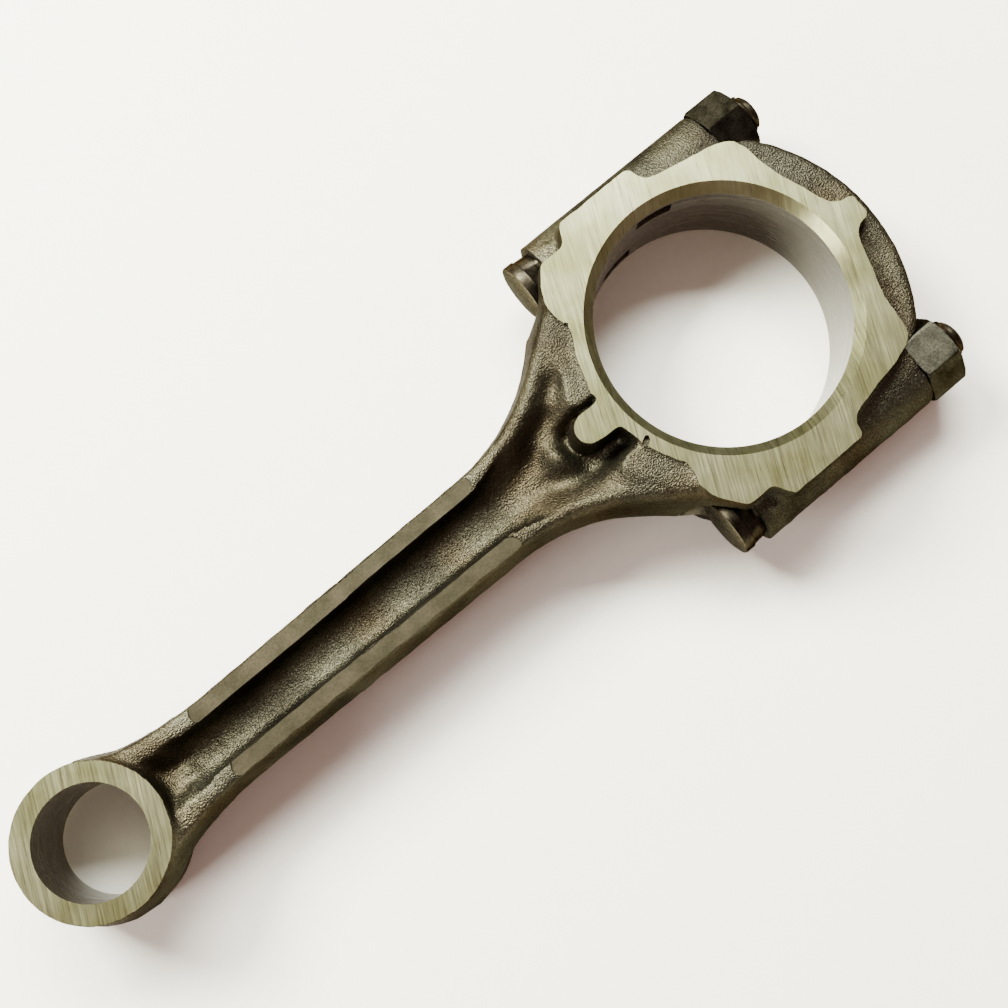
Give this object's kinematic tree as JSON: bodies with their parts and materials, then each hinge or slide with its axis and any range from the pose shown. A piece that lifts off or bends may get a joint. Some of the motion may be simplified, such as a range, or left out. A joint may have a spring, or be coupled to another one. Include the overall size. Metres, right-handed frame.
{
  "type": "connecting rod",
  "caption": "Forged engine connecting rod with an I-section shank, a pin bore and a split big end whose cap is held by pressed bolts and hex nuts.",
  "frame": {"origin": "centre of the big-end housing bore, on the rod's middle plane", "axes": "+X along the rod from the small end towards the cap, +Z along both bores, +Y across the rod"},
  "size_m": [0.2109, 0.0774, 0.026],
  "materials": {
    "forged_steel_rod": "shot-blasted forged skin, ground side faces and honed bores",
    "forged_steel_cap": "shot-blasted forged skin, ground side faces and honed bore",
    "bolt_steel": "oiled dark heat-treated steel",
    "nut_steel": "oiled dark heat-treated steel"
  },
  "bodies": {
    "rod": {"rod_forging": "forged_steel_rod", "rod_bolt_a": "bolt_steel", "rod_bolt_b": "bolt_steel"},
    "cap": {"bearing_cap": "forged_steel_cap"},
    "nut_a": {"cap_nut_a": "nut_steel"},
    "nut_b": {"cap_nut_b": "nut_steel"}
  },
  "joints": [
    {"name": "cap_slide", "type": "slide", "parent": "rod", "child": "cap", "axis": [1, 0, 0], "range_m": [0, 0.04]},
    {"name": "nut_a_turn", "type": "hinge", "parent": "cap", "child": "nut_a", "pos_m": [0.0245, 0.031, 0], "axis": [1, 0, 0], "range_deg": [0, 14400.5]},
    {"name": "nut_b_turn", "type": "hinge", "parent": "cap", "child": "nut_b", "pos_m": [0.0245, -0.031, 0], "axis": [1, 0, 0], "range_deg": [0, 14400.5]}
  ],
  "couplings": [
    {"joint": "nut_a_turn", "follows": "cap_slide", "rad_per_m": 6283.2},
    {"joint": "nut_b_turn", "follows": "cap_slide", "rad_per_m": 6283.2}
  ]
}
